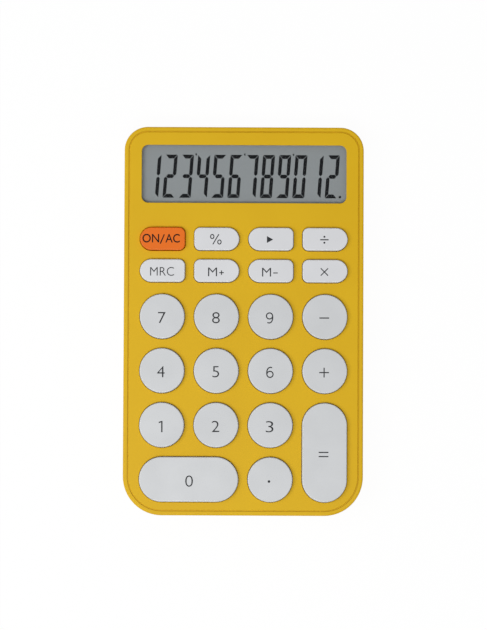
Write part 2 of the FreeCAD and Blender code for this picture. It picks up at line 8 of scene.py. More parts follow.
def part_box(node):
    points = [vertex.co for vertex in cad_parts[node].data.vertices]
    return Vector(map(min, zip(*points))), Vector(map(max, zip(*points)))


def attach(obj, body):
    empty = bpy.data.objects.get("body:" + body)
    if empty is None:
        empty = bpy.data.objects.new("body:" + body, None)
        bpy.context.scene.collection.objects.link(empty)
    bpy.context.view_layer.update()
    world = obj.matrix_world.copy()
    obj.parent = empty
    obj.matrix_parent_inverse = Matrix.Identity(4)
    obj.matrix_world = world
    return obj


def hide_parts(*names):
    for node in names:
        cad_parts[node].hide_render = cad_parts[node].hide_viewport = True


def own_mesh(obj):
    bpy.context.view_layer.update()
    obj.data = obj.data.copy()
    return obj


mm = 0.001
exact = 1e-7  # lengths closer than this are the same, in metres
touching = 1e-6  # corners closer than this are merged, in metres
smoothBelow = radians(30)  # faces that meet at less than this shade as one surface
inkLift = 0.25  # how far the middle of an ink stands over its surface, as a share of its thickness
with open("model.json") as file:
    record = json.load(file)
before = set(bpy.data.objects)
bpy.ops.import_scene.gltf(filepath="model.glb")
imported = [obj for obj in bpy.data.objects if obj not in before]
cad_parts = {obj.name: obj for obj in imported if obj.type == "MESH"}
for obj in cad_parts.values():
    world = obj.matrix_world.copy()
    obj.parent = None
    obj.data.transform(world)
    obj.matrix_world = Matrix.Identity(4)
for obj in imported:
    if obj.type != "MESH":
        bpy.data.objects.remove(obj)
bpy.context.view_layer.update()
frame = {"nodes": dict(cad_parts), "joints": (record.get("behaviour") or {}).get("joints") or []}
cadNodes = frame["nodes"]
bpy.ops.object.select_all(action="DESELECT")
print("frame loaded:", len(cadNodes), "nodes")


# Nodes and materials

def linear(hexColour):  # sRGB hex to linear light
    channels = [int(hexColour[i:i + 2], 16) / 255 for i in (0, 2, 4)]
    return [c / 12.92 if c <= 0.04045 else ((c + 0.055) / 1.055) ** 2.4 for c in channels] + [1.0]


def addNode(tree, kind, settings=None, links=None):
    node = tree.nodes.new("ShaderNode" + kind)
    for name, value in (settings or {}).items():
        if isinstance(name, str) and hasattr(node, name):
            setattr(node, name, value)
        else:
            node.inputs[name].default_value = value
    for name, socket in (links or {}).items():
        tree.links.new(socket, node.inputs[name])
    return node


def startMaterial(name):
    material = bpy.data.materials.new(name)
    material.use_nodes = True
    material.node_tree.nodes.clear()
    place = addNode(material.node_tree, "TexCoord").outputs["Object"]
    return material, material.node_tree, place


def scaleFor(size):  # texture scale of a pattern whose marks are this many millimetres apart
    return 1 / (size * mm)


surface = {"stops": (0.3, 0.7), "driftDetail": 4.0, "grainDetail": 2.0, "bump": 0.5}  # of all grained looks


def grained(look):
    # colour that drifts a little between two shades, uneven gloss and a fine grain in the surface
    material, tree, place = startMaterial(look["name"])
    drift = addNode(tree, "TexNoise", {"Scale": scaleFor(look["patch"]), "Detail": surface["driftDetail"]},
                    {"Vector": place})
    shades = addNode(tree, "ValToRGB", links={"Fac": drift.outputs["Fac"]})
    for stop, at, shade in zip(shades.color_ramp.elements, surface["stops"], look["shades"]):
        stop.position = at
        stop.color = linear(shade)
    smooth, rough = look["roughness"]
    gloss = addNode(tree, "MapRange", {"To Min": smooth, "To Max": rough}, {"Value": drift.outputs["Fac"]})
    grain = addNode(tree, "TexNoise", {"Scale": scaleFor(look["grain"]), "Detail": surface["grainDetail"]},
                    {"Vector": place})
    bump = addNode(tree, "Bump", {"Strength": surface["bump"], "Distance": look["depth"] * mm},
                   {"Height": grain.outputs["Fac"]})
    shader = addNode(tree, "BsdfPrincipled", look.get("shader"), {
        "Base Color": shades.outputs["Color"], "Roughness": gloss.outputs["Result"],
        "Normal": bump.outputs["Normal"]})
    addNode(tree, "OutputMaterial", links={"Surface": shader.outputs["BSDF"]})
    return material


# patch and grain are the spacing of the marks, depth the height of the grain, all in millimetres
looks = {
    # satin from a spark-eroded mould: a wide soft highlight; its 0.1 mm grain is drawn at 0.3 mm to show
    "case_plastic": {"name": "ABS moulded yellow", "shades": ("D6AA06", "DAAF0A"), "patch": 22,
                     "roughness": (0.44, 0.54), "grain": 0.3, "depth": 0.006,
                     "shader": {"IOR": 1.54, "Specular IOR Level": 0.2}},
    # a finer satin, cool white, with brighter edges where it turns away
    "key_plastic": {"name": "ABS moulded white", "shades": ("C8CACC", "CDCFD1"), "patch": 12,
                    "roughness": (0.26, 0.34), "grain": 0.25, "depth": 0.003, "shader": {"IOR": 1.54}},
    # the function keys come from another batch, a shade paler
    "pale_key_plastic": {"name": "ABS moulded pale white", "shades": ("D4D5D8", "D8D9DC"), "patch": 12,
                         "roughness": (0.26, 0.34), "grain": 0.25, "depth": 0.003, "shader": {"IOR": 1.54}},
    # the same satin in a warm orange, so that this key is found first
    "clear_key_plastic": {"name": "ABS moulded orange", "shades": ("E26A08", "E66E0C"), "patch": 12,
                          "roughness": (0.3, 0.38), "grain": 0.25, "depth": 0.003,
                          "shader": {"IOR": 1.54, "Specular IOR Level": 0.25}},
    # milky rubber, dull and a little tacky
    "silicone": {"name": "Silicone rubber moulded", "shades": ("B9BDBE", "C6CACB"), "patch": 9,
                 "roughness": (0.5, 0.62), "grain": 0.2, "depth": 0.004, "shader": {"IOR": 1.41}},
    # dull black with the fine tooth of the screen mesh
    "carbon": {"name": "Carbon ink screen printed", "shades": ("161617", "232325"), "patch": 1.5,
               "roughness": (0.55, 0.7), "grain": 0.1, "depth": 0.004},
    # a glossy blob with shallow ripples from setting
    "epoxy": {"name": "Epoxy potted black", "shades": ("0E0E0F", "171718"), "patch": 3,
              "roughness": (0.18, 0.3), "grain": 0.6, "depth": 0.01, "shader": {"IOR": 1.57}},
    # open-cell foam: pores drawn at 0.25 mm
    "foam": {"name": "Foam tape black", "shades": ("131314", "242426"), "patch": 0.5,
             "roughness": (0.8, 0.95), "grain": 0.25, "depth": 0.05},
    # brittle black with a soft shine, so that no light creeps round the glass
    "holder_plastic": {"name": "Polystyrene moulded black", "shades": ("131314", "1A1A1B"), "patch": 14,
                       "roughness": (0.3, 0.4), "grain": 0.3, "depth": 0.003, "shader": {"IOR": 1.59}},
    # bright nickel with the faint clouding of a barrel-plated can
    "cell_steel": {"name": "Nickel-plated steel stamped", "shades": ("B9B8B3", "C8C7C2"), "patch": 2.5,
                   "roughness": (0.16, 0.28), "grain": 0.15, "depth": 0.002, "shader": {"Metallic": 1.0}},
    # cooler and duller than the nickel
    "contact_metal": {"name": "Tinned spring steel", "shades": ("B4B5B8", "C2C3C6"), "patch": 2,
                      "roughness": (0.24, 0.36), "grain": 0.12, "depth": 0.002,
                      "shader": {"Metallic": 1.0}},
    # bluish zinc, duller where the die gripped it
    "screw_steel": {"name": "Zinc-plated steel cold headed", "shades": ("A3A6AA", "BCBFC2"), "patch": 0.8,
                    "roughness": (0.26, 0.42), "grain": 0.15, "depth": 0.004, "shader": {"Metallic": 1.0}},
    # a soft mirror with fine sparkle
    "reflector": {"name": "Aluminised film", "shades": ("B4B6B6", "C2C4C4"), "patch": 0.6,
                  "roughness": (0.35, 0.5), "grain": 0.2, "depth": 0.004, "shader": {"Metallic": 1.0}},
    # dense black rubber with a powdery bloom
    "foot_rubber": {"name": "Nitrile rubber moulded", "shades": ("232425", "2E2F30"), "patch": 2.5,
                    "roughness": (0.62, 0.78), "grain": 0.2, "depth": 0.012, "shader": {"IOR": 1.52}},
    # flat dark grey, a shade paler where the ink went on thin
    "legend_ink": {"name": "Pad printing ink grey", "shades": ("1F2124", "282A2D"), "patch": 0.5,
                   "roughness": (0.45, 0.6), "grain": 0.1, "depth": 0.002,
                   "shader": {"Specular IOR Level": 0.2}},
    # a flat black that stands out on orange
    "clear_ink": {"name": "Pad printing ink black", "shades": ("060505", "0D0B0C"), "patch": 0.5,
                  "roughness": (0.45, 0.6), "grain": 0.1, "depth": 0.002,
                  "shader": {"Specular IOR Level": 0.1}},
    # the even grey of the polariser over its silvered back, with the fine sparkle of the silvering
    "polariser": {"name": "Polariser film over silvering", "shades": ("909496", "96999B"), "patch": 0.35,
                  "roughness": (0.38, 0.5), "grain": 0.2, "depth": 0.002,
                  "shader": {"Specular IOR Level": 0.0}},
    # nearly black, with a cold cast
    "crystal": {"name": "Liquid crystal switched dark", "shades": ("1D1E20", "222325"), "patch": 0.6,
                "roughness": (0.38, 0.5), "grain": 0.2, "depth": 0.002,
                "shader": {"Specular IOR Level": 0.0}},
}


# patch is the size of the smears that handling leaves, in millimetres, and haze how far they dull the sheet
clearLooks = {
    # hard and colourless, with a coat against glare: faint sharp reflections
    "window_acrylic": {"name": "Acrylic cast clear", "tint": "FCFDFD", "glare": "404040", "ior": 1.49,
                       "patch": 9, "detail": 5.0, "haze": 0.05},
    # a breath of green and a brighter shine
    "display_glass": {"name": "Soda-lime glass float", "tint": "F4FAF7", "glare": "C0C0C0", "ior": 1.52,
                      "patch": 9, "detail": 5.0, "haze": 0.05},
}


def clearSheet(look):
    # a sheet that is seen through, and that light falls through
    material, tree, place = startMaterial(look["name"])
    tint, glare = linear(look["tint"]), linear(look["glare"])
    smears = addNode(tree, "TexNoise", {"Scale": scaleFor(look["patch"]), "Detail": look["detail"]},
                     {"Vector": place})
    polish = addNode(tree, "MapRange", {"To Max": look["haze"]}, {"Value": smears.outputs["Fac"]})
    shown = addNode(tree, "BsdfPrincipled", {
        "Base Color": tint, "IOR": look["ior"], "Transmission Weight": 1.0, "Specular Tint": glare},
        {"Roughness": polish.outputs["Result"]}).outputs["BSDF"]
    through = addNode(tree, "BsdfTransparent", {"Color": tint})
    path = addNode(tree, "LightPath")
    for ray in ("Is Shadow Ray", "Is Diffuse Ray"):
        shown = addNode(tree, "MixShader", links={
            0: path.outputs[ray], 1: shown, 2: through.outputs["BSDF"]}).outputs["Shader"]
    addNode(tree, "OutputMaterial", links={"Surface": shown})
    return material


# green solder mask over copper: the tracks show as paler raised lines. Spacing and height in millimetres
boardLook = {"name": "Glass epoxy board solder masked", "shades": ("2E7A4A", "1B5A35"),
             "stops": (0.1, 0.16), "spacing": 3, "height": 0.03, "bump": 0.4,
             "shader": {"Roughness": 0.32, "IOR": 1.55}}


def trackedBoard(look):
    material, tree, place = startMaterial(look["name"])
    tracks = addNode(tree, "TexVoronoi", {"Scale": scaleFor(look["spacing"]), "distance": "CHEBYCHEV",
                                          "feature": "DISTANCE_TO_EDGE"}, {"Vector": place})
    mask = addNode(tree, "ValToRGB", links={"Fac": tracks.outputs["Distance"]})
    for stop, at, shade in zip(mask.color_ramp.elements, look["stops"], look["shades"]):
        stop.position = at
        stop.color = linear(shade)
    raised = addNode(tree, "Bump", {
        "Strength": look["bump"], "Distance": look["height"] * mm, "invert": True},
        {"Height": mask.outputs["Color"]})
    shader = addNode(tree, "BsdfPrincipled", look["shader"], {
        "Base Color": mask.outputs["Color"], "Normal": raised.outputs["Normal"]})
    addNode(tree, "OutputMaterial", links={"Surface": shader.outputs["BSDF"]})
    return material


finishes = {slot: grained(look) for slot, look in looks.items()}
finishes.update({slot: clearSheet(look) for slot, look in clearLooks.items()})
finishes["board"] = trackedBoard(boardLook)
paleKeys = ("percent", "backspace", "divide", "memory_recall", "memory_plus", "memory_minus", "multiply")
ownFinish = {f"key_{name}": "pale_key_plastic" for name in paleKeys}
for name, node in cadNodes.items():
    for holder in node.material_slots:
        holder.material = finishes[ownFinish.get(name, holder.material.name)]
print("finishes set:", len(finishes))


# Modelling by hand: pieces are made round the origin, then settled in their place

def alone(piece):
    bpy.ops.object.select_all(action="DESELECT")
    piece.select_set(True)
    bpy.context.view_layer.objects.active = piece


def settle(piece, place=(0, 0, 0), scale=(1, 1, 1), turn=0):
    alone(piece)
    piece.location, piece.scale, piece.rotation_euler = place, scale, (0, 0, turn)
    bpy.ops.object.transform_apply(location=True, rotation=True, scale=True)


def bounded(piece):
    places = [corner.co for corner in piece.data.vertices]
    low = Vector([min(p[i] for p in places) for i in range(3)])
    high = Vector([max(p[i] for p in places) for i in range(3)])
    return low, high


def centred(piece):
    low, high = bounded(piece)
    settle(piece, -(low + high) / 2)
    return piece


def edit(piece, kind="EDGE"):
    alone(piece)
    bpy.context.tool_settings.mesh_select_mode = [kind == each for each in ("VERT", "EDGE", "FACE")]
    bpy.ops.object.mode_set(mode="EDIT")


def pickEdges(piece, test):
    # selects the edges whose two ends pass the test, ready to edit
    for item in (*piece.data.vertices, *piece.data.polygons):
        item.select = False
    for edge in piece.data.edges:
        edge.select = test(*[piece.data.vertices[i].co for i in edge.vertices])
    edit(piece)


def bevelEdges(piece, radius, test, segments):
    pickEdges(piece, test)
    bpy.ops.mesh.bevel(offset=radius, segments=segments, affect="EDGES", clamp_overlap=True)
    bpy.ops.object.mode_set(mode="OBJECT")


def roundCorners(piece, radius):  # the upright edges, which are corners from above
    bevelEdges(piece, radius, lambda a, b: (a - b).xy.length < exact, segments=3)


def softenRim(piece, radius):  # the edges of the top face
    top = bounded(piece)[1].z
    bevelEdges(piece, radius, lambda a, b: min(a.z, b.z) > top - exact, segments=1)


def bar(width, depth, height):
    bpy.ops.mesh.primitive_cube_add(size=1)
    piece = bpy.context.object
    settle(piece, scale=(width, depth, height))
    return piece


def disc(diameter, height, corners=32):
    bpy.ops.mesh.primitive_cylinder_add(vertices=corners, radius=diameter / 2, depth=height)
    return bpy.context.object


def copyOf(piece, place=(0, 0, 0), scale=(1, 1, 1), turn=0):
    twin = bpy.data.objects.new(piece.name, piece.data.copy())
    bpy.context.scene.collection.objects.link(twin)
    settle(twin, place, scale, turn)
    return twin


def tidied(piece, name, turnOut=True):
    # doubles merged and, unless the faces already point outwards, every face turned that way
    piece.name = piece.data.name = name
    edit(piece, "VERT")
    bpy.ops.mesh.select_all(action="SELECT")
    bpy.ops.mesh.remove_doubles(threshold=touching)
    if turnOut:
        bpy.ops.mesh.normals_make_consistent(inside=False)
    bpy.ops.object.mode_set(mode="OBJECT")
    bpy.ops.object.shade_flat()
    return piece


def joined(name, pieces):  # pieces that lie apart, as one object
    alone(pieces[0])
    for piece in pieces:
        piece.select_set(True)
    if len(pieces) > 1:
        bpy.ops.object.join()
    return tidied(bpy.context.object, name)


def united(name, pieces):  # strokes that cross, as one solid
    whole = pieces[0]
    for other in pieces[1:]:
        alone(whole)
        union = whole.modifiers.new("union", "BOOLEAN")
        union.operation, union.solver, union.object = "UNION", "EXACT", other
        bpy.ops.object.modifier_apply(modifier=union.name)
        bpy.data.objects.remove(other)
    return tidied(whole, name, turnOut=False)


def dress(piece, finish, body):
    piece.data.materials.clear()
    piece.data.materials.append(finishes[finish])
    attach(piece, body)


# Keypad: the sheet and its domes apart, each dome a piece of its own under its own key. Millimetres

keypad = {"thickness": 0.8, "stump": 0.05}


def keypadSide(level, above):
    # the part of the sheet above or below a level
    piece = copyOf(cadNodes["keypad_sheet"])
    edit(piece, "VERT")
    bpy.ops.mesh.customdata_custom_splitnormals_clear()
    bpy.ops.mesh.select_all(action="SELECT")
    bpy.ops.mesh.remove_doubles(threshold=touching)
    bpy.ops.mesh.bisect(plane_co=(0, 0, level), plane_no=(0, 0, 1), threshold=exact,
                        clear_inner=above, clear_outer=not above)
    bpy.ops.object.mode_set(mode="OBJECT")
    return piece


def closeCut(piece, level, low, high):
    # the two rings of a dome's wall at the cut, within the dome's own bounds
    def onCut(*ends):
        return all(abs(end.z - level) < exact and low.x < end.x < high.x and low.y < end.y < high.y
                   for end in ends)

    pickEdges(piece, onCut)
    bpy.ops.mesh.bridge_edge_loops()
    bpy.ops.object.mode_set(mode="OBJECT")


def pairedWalls(walls):
    # the cut leaves a dome's outer and inner wall apart: those about one axis belong together
    left = [(wall, sum(bounded(wall), Vector()) / 2) for wall in walls]
    domes = []
    while left:
        axis = left[0][1]
        pair = [wall for wall, middle in left if (middle - axis).xy.length < keypad["stump"] * mm]
        left = [(wall, middle) for wall, middle in left if wall not in pair]
        domes.append((joined("dome", pair), axis))
    return domes


def finishKeypad(piece):
    alone(piece)
    bpy.ops.object.shade_smooth_by_angle(angle=smoothBelow)
    dress(piece, "silicone", "case")


def keypadPieces():
    low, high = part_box("keypad_sheet")
    level = low.z + (keypad["thickness"] + keypad["stump"]) * mm
    web = keypadSide(level, False)
    alone(keypadSide(level, True))
    bpy.ops.mesh.separate(type="LOOSE")
    domes = pairedWalls(bpy.context.selected_objects)
    room = Vector((1, 1, 0)) * keypad["stump"] * mm
    for dome, middle in domes:
        domeLow, domeHigh = bounded(dome)
        for piece in (dome, web):
            closeCut(piece, level, domeLow - room, domeHigh + room)
    presses = [joint for joint in frame["joints"] if joint["type"] == "slide"]
    for joint in presses:
        keyLow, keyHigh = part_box(joint["child"])
        under = [dome for dome, middle in domes if keyLow.x < middle.x < keyHigh.x
                 and keyLow.y < middle.y < keyHigh.y]
        dome = joined(joint["child"].replace("key_", "dome_"), under)
        finishKeypad(dome)
        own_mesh(dome)
    finishKeypad(tidied(web, "keypad_web"))
    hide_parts("keypad_sheet")
    return len(presses)


print("domes made:", keypadPieces())


# Display digits, dark on the polariser. Sizes in millimetres, slant in degrees

display = {
    "value": "123456789012", "height": 16.72, "width": 4.66, "pitch": 6.28, "slant": 4.3,
    "upright": 1.32, "level": 1.5, "gap": 0.15, "trim": 0.26, "tip": 0.03, "ink": 0.02,
    "across": -0.4, "drop": 0.78, "pointDiameter": 1.0, "pointAside": 1.2, "pointEdge": 0.01, "group": 3,
    "tickWidth": 0.55, "tickHeight": 0.85, "tickAside": 0.8, "tickRise": 0.1, "tickLean": 0.6,
}
litSegments = {
    "0": "abcdef", "1": "bc", "2": "abged", "3": "abgcd", "4": "fgbc",
    "5": "afgcd", "6": "afgecd", "7": "abc", "8": "abcdefg", "9": "abcdfg",
}


def cutBar(width, depth, place, cuts):
    # a bar in the plane of the glass, cut by lines: (point, direction to clear, how far short of the point)
    piece = bar(width * mm, depth * mm, display["ink"] * mm)
    settle(piece, Vector(place) * mm)
    edit(piece)
    for point, away, short in cuts:
        side = Vector((*away, 0)).normalized()
        bpy.ops.mesh.select_all(action="SELECT")
        bpy.ops.mesh.bisect(plane_co=(Vector((*point, 0)) - side * short) * mm, plane_no=side,
                            threshold=exact, use_fill=True, clear_outer=True)
    bpy.ops.object.mode_set(mode="OBJECT")
    roundCorners(piece, display["tip"] * mm)
    return piece


def makeSegments():
    # neighbours part along the lines from the frame's outer to its inner corners, and points are blunted
    half, tall = display["width"] / 2, display["height"] / 2
    upright, level = display["upright"], display["level"]
    gap, trim = display["gap"] / 2, display["trim"]
    inner = half - upright / 2
    corner, waist = (half, tall), (inner, 0)
    topCuts, middleCuts = [], []
    for way in (-1, 1):
        outer, end = (way * half, tall), (way * inner, 0)
        topCuts += [(outer, (way * level, -upright), gap), (outer, (way, 0), trim)]
        middleCuts += [(end, (way * level, side * upright), gap) for side in (1, -1)]
        middleCuts.append((end, (way, 0), trim))
    rightCuts = [(corner, (-level, upright), gap), (corner, (0, 1), trim), (waist, (0, -1), trim),
                 (waist, (level, -upright), gap), (waist, (-level, -upright), gap)]
    top = cutBar(2 * half, level, (0, tall - level / 2, 0), topCuts)
    right = cutBar(upright, tall, (inner, tall / 2, 0), rightCuts)
    return {
        "a": top, "b": right, "g": cutBar(2 * inner, level, (0, 0, 0), middleCuts),
        "c": copyOf(right, scale=(1, -1, 1)), "d": copyOf(top, scale=(1, -1, 1)),
        "e": copyOf(right, scale=(-1, -1, 1)), "f": copyOf(right, scale=(-1, 1, 1)),
    }


def displayDigits():
    segments = makeSegments()
    wide, tall = display["tickWidth"], display["tickHeight"]
    tick = cutBar(wide, tall, (0, 0, 0), [((-wide / 2, 0), (-1, -display["tickLean"]), 0)])
    low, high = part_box("display_window")
    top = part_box("display_polariser")[1].z
    count = len(display["value"])
    pieces = []
    for place, figure in enumerate(display["value"]):
        across = (place - (count - 1) / 2) * display["pitch"]
        pieces += [copyOf(segments[letter], (across * mm, 0, 0)) for letter in litSegments[figure]]
        if (place + 1) % display["group"] == 0 and place < count - 1:
            aside = across + display["width"] / 2 + display["tickAside"]
            rise = display["height"] / 2 + display["tickRise"]
            pieces.append(copyOf(tick, (aside * mm, rise * mm, 0)))
    point = disc(display["pointDiameter"] * mm, display["ink"] * mm)
    softenRim(point, display["pointEdge"] * mm)
    aside = across + display["width"] / 2 + display["pointAside"]
    below = (display["pointDiameter"] - display["height"]) / 2
    settle(point, (aside * mm, below * mm, 0))
    for pattern in (tick, *segments.values()):
        bpy.data.objects.remove(pattern)
    digits = joined("display_digits", pieces + [point])
    lean = tan(radians(display["slant"]))
    digits.data.transform(Matrix(((1, lean, 0, 0), (0, 1, 0, 0), (0, 0, 1, 0), (0, 0, 0, 1))))
    middle = (low.y + high.y) / 2 - display["drop"] * mm
    settle(digits, (display["across"] * mm, middle, top + display["ink"] * inkLift * mm))
    dress(digits, "crystal", "case")
    return count


print("display digits made:", displayDigits())


# Print on the keys. Sizes in millimetres; shift, drop and nudges move a legend from the middle of its key

printing = {
    "ink": 0.03, "stroke": 0.44, "fine": 0.38, "cross": 0.38, "corner": 0.06, "edge": 0.008,
    "digitWeight": -0.075, "wordWeight": -0.05, "clearWeight": 0.04, "curveSteps": 8,
    "digitHeight": 4.3, "digitWidth": 2.95, "oneStroke": 0.52, "flagLength": 0.95, "flagFall": 0.35,
    "signWidth": 3.75, "crossWidth": 3.1, "divideWidth": 3.25, "divideDot": 0.75, "divideRise": 1.15,
    "equalsRise": 0.8, "pointDiameter": 1.0, "arrow": (2.4, 2.65), "percent": (4.45, 4.05),
    "percentRing": (1.68, 1.95), "wordHeight": 3.35, "recallWidth": 9.2,
    "letterWidth": 3.45, "memorySign": 1.75, "memoryGap": 0.85, "memoryDrop": 0.3,
    "onWidth": 6.45, "clearWidth": 5.55, "slash": (2.1, 3.85), "slashGap": 0.15, "slashDrop": 0.3,
    "shift": -0.25, "digitDrop": 0.52, "functionDrop": 0.3, "narrow": {"five": 2.6},
    "nudges": {
        "on_clear": (-0.3, 0.45), "percent": (-0.1, 0.13), "backspace": (-0.12, 0.13),
        "divide": (-0.05, 0.13), "memory_recall": (0.15, -0.03), "memory_plus": (0, -0.14),
        "memory_minus": (-0.1, -0.17), "seven": (0.14, 0), "eight": (0.08, 0.05), "nine": (-0.12, 0.05),
        "minus": (0, 0.11), "four": (-0.14, 0.09), "five": (0.1, 0.15), "one": (-0.1, -0.12),
        "two": (0.1, 0), "zero": (0.5, -0.1), "point": (-0.15, -0.13), "equals": (-0.1, -0.12),
    },
}


def fitted(piece, width, height, thick):
    # stretched to a size in millimetres, with its middle at the origin
    low, high = bounded(piece)
    settle(piece, scale=[want * mm / has for want, has in zip((width, height, thick), high - low)])
    return centred(piece)


def printedText(text, height, width, weight):
    # tall letters, whose walls are pushed out or in by the weight, are then flattened to the ink
    bpy.ops.object.text_add()
    piece = bpy.context.object
    piece.data.body = text
    piece.data.extrude = 0.5  # any depth will do, because the letters are fitted next
    piece.data.resolution_u = printing["curveSteps"]
    bpy.ops.object.convert(target="MESH")
    fitted(tidied(piece, "letters"), width, height, height)
    edit(piece, "VERT")
    bpy.ops.mesh.select_all(action="SELECT")
    bpy.ops.transform.shrink_fatten(value=weight * mm, use_even_offset=True)
    bpy.ops.object.mode_set(mode="OBJECT")
    return fitted(piece, width, height, printing["ink"])


def printedBar(width, stroke=None, turn=0, place=(0, 0)):
    piece = bar(width * mm, (stroke or printing["stroke"]) * mm, printing["ink"] * mm)
    roundCorners(piece, printing["corner"] * mm)
    softenRim(piece, printing["edge"] * mm)
    settle(piece, (place[0] * mm, place[1] * mm, 0), turn=turn)
    return piece


def printedDot(diameter, rise=0):
    piece = disc(diameter * mm, printing["ink"] * mm)
    softenRim(piece, printing["edge"] * mm)
    settle(piece, (0, rise * mm, 0))
    return piece


def penLine(piece, stroke):
    # a flat curve raised to the height of the ink and given the width of the pen
    piece.data.dimensions = "2D"
    piece.data.fill_mode = "NONE"
    piece.data.extrude = printing["ink"] * mm / 2
    alone(piece)
    bpy.ops.object.convert(target="MESH")
    tidied(piece, "line")
    pen = piece.modifiers.new("pen", "SOLIDIFY")
    pen.thickness, pen.offset, pen.use_even_offset = stroke * mm, 0, True
    bpy.ops.object.modifier_apply(modifier=pen.name)
    return piece


def penRing(width, height, stroke, place):  # width and height over the ink
    bpy.ops.curve.primitive_bezier_circle_add(radius=0.5)
    piece = bpy.context.object
    settle(piece, scale=((width - stroke) * mm, (height - stroke) * mm, 1))
    penLine(piece, stroke)
    settle(piece, (place[0] * mm, place[1] * mm, 0))
    return piece


def penCurve(points, stroke):
    bpy.ops.curve.primitive_bezier_curve_add()
    piece = bpy.context.object
    line = piece.data.splines[0].bezier_points
    line.add(len(points) - len(line))
    for knot, (x, y) in zip(line, points):
        knot.handle_left_type = knot.handle_right_type = "AUTO"
        knot.co = (x * mm, y * mm, 0)
    return penLine(piece, stroke)


def plusSign(width, stroke=None):
    level = printedBar(width, stroke)
    return [level, copyOf(level, turn=pi / 2)]


def timesSign(width, stroke):  # two crossed bars whose ends span the width
    rising = printedBar(width * sqrt(2) - stroke, stroke, pi / 4)
    return [rising, copyOf(rising, turn=-pi / 2)]


def equalsSign():
    rise = printing["equalsRise"]
    upper = printedBar(printing["signWidth"], place=(0, rise))
    return [upper, copyOf(upper, (0, -2 * rise * mm, 0))]


def divideSign():
    rise = printing["divideRise"]
    upper = printedDot(printing["divideDot"], rise)
    return [printedBar(printing["divideWidth"]), upper, copyOf(upper, (0, -2 * rise * mm, 0))]


def slashSign(width, height, stroke):  # a bar that leans over this width and height
    return printedBar(hypot(width, height) - stroke, stroke, atan2(height, width - stroke))


def percentSign():
    (width, height), (ringWidth, ringHeight) = printing["percent"], printing["percentRing"]
    fine, aside, rise = printing["fine"], width - ringWidth, height - ringHeight
    upper = penRing(ringWidth, ringHeight, fine, (-aside / 2, rise / 2))
    lower = copyOf(upper, (aside * mm, -rise * mm, 0))
    return [slashSign(aside, height, fine), upper, lower]


def arrowHead(width, height, thick, corner):  # a triangle that points along +X
    piece = disc(1, 1, corners=3)  # any size will do, because it is fitted next
    settle(piece, turn=-pi / 2)
    fitted(piece, width, height, thick)
    roundCorners(piece, corner * mm)
    return centred(piece)


def arrowSign():
    piece = arrowHead(*printing["arrow"], printing["ink"], printing["corner"])
    softenRim(piece, printing["edge"] * mm)
    return [piece]


def digitOne():
    # an upright stroke whose top left side is drawn out into the flag
    leftward = -0.9  # normals beyond this look to the left
    stroke, height = printing["oneStroke"] * mm, printing["digitHeight"] * mm
    piece = bar(stroke, height, printing["ink"] * mm)
    edit(piece)
    bpy.ops.mesh.select_all(action="SELECT")
    bpy.ops.mesh.bisect(plane_co=(0, height / 2 - stroke, 0), plane_no=(0, 1, 0), threshold=exact)
    bpy.ops.object.mode_set(mode="OBJECT")
    for item in (*piece.data.vertices, *piece.data.edges):
        item.select = False
    for face in piece.data.polygons:
        face.select = face.normal.x < leftward and face.center.y > height / 2 - stroke
    edit(piece, "FACE")
    bpy.ops.mesh.extrude_region_move(TRANSFORM_OT_translate={
        "value": (-printing["flagLength"] * mm, -printing["flagFall"] * mm, 0)})
    bpy.ops.object.mode_set(mode="OBJECT")
    softenRim(piece, printing["edge"] * mm)
    return [centred(piece)]


# the six in shares of its width and height: the oval's size and middle, and the knots of its tail
sixShares = {
    "oval": (0.94, 0.6), "middle": (0.03, -0.2),
    "tail": ((-0.44, -0.24), (-0.46, -0.02), (-0.33, 0.32), (-0.02, 0.49), (0.36, 0.47)),
}


def digitSix():
    # an oval with a tail that leaves its left side and curls in at the head
    stroke = printing["stroke"]
    width, height = printing["digitWidth"] - stroke, printing["digitHeight"] - stroke

    def sized(share):
        return share[0] * width, share[1] * height

    ovalWidth, ovalHeight = sized(sixShares["oval"])
    oval = penRing(ovalWidth + stroke, ovalHeight + stroke, stroke, sized(sixShares["middle"]))
    return [oval, penCurve([sized(knot) for knot in sixShares["tail"]], stroke)]


def turnedOver(strokes):  # makes a nine of a six
    return [copyOf(stroke, turn=pi) for stroke in strokes]


def wordText(text, width):
    return printedText(text, printing["wordHeight"], width, printing["wordWeight"])


def memorySigns():
    # the letter with a small plus, and with a minus, at its right and a little below its middle
    reach, gap, letterWidth = printing["memorySign"], printing["memoryGap"], printing["letterWidth"]
    letter = wordText("M", letterWidth)
    settle(letter, (-(gap + reach) / 2 * mm, 0, 0))
    twin = copyOf(letter)
    plus, minus = plusSign(reach, printing["fine"]), [printedBar(reach, printing["fine"])]
    for mark in plus + minus:
        settle(mark, ((letterWidth + gap) / 2 * mm, -printing["memoryDrop"] * mm, 0))
    return [letter] + plus, [twin] + minus


def onClearSign():
    on = printedText("ON", printing["wordHeight"], printing["onWidth"], printing["clearWeight"])
    clear = printedText("AC", printing["wordHeight"], printing["clearWidth"], printing["clearWeight"])
    slash = slashSign(*printing["slash"], printing["stroke"])
    reach = printing["slash"][0] / 2 + printing["slashGap"]
    middle = (printing["clearWidth"] - printing["onWidth"]) / 2
    settle(on, ((-reach - printing["onWidth"] / 2 - middle) * mm, 0, 0))
    settle(clear, ((reach + printing["clearWidth"] / 2 - middle) * mm, 0, 0))
    settle(slash, (-middle * mm, -printing["slashDrop"] * mm, 0))
    return [on, clear, slash]


